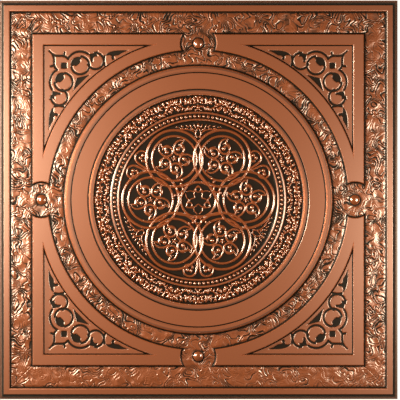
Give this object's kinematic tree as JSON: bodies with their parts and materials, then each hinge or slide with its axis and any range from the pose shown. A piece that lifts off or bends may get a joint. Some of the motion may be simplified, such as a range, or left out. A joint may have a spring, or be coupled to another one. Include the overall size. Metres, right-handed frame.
{
  "type": "ceiling tile",
  "caption": "Square vacuum-formed vinyl ceiling tile in an antique-copper finish: raised rim, ornamented corner frames and a round moulded medallion with interlaced tracery.",
  "frame": {"origin": "centre of the tile on its underside, the plane the border flange rests on", "axes": "+Z out of the decorated face; +X and +Y along the sides of the square"},
  "size_m": [0.603, 0.603, 0.0084],
  "materials": {
    "copper_vinyl": "satin metallic antique copper with dark brown patina in the recesses"
  },
  "bodies": {
    "root": {"ceiling_tile": "copper_vinyl"}
  },
  "joints": []
}
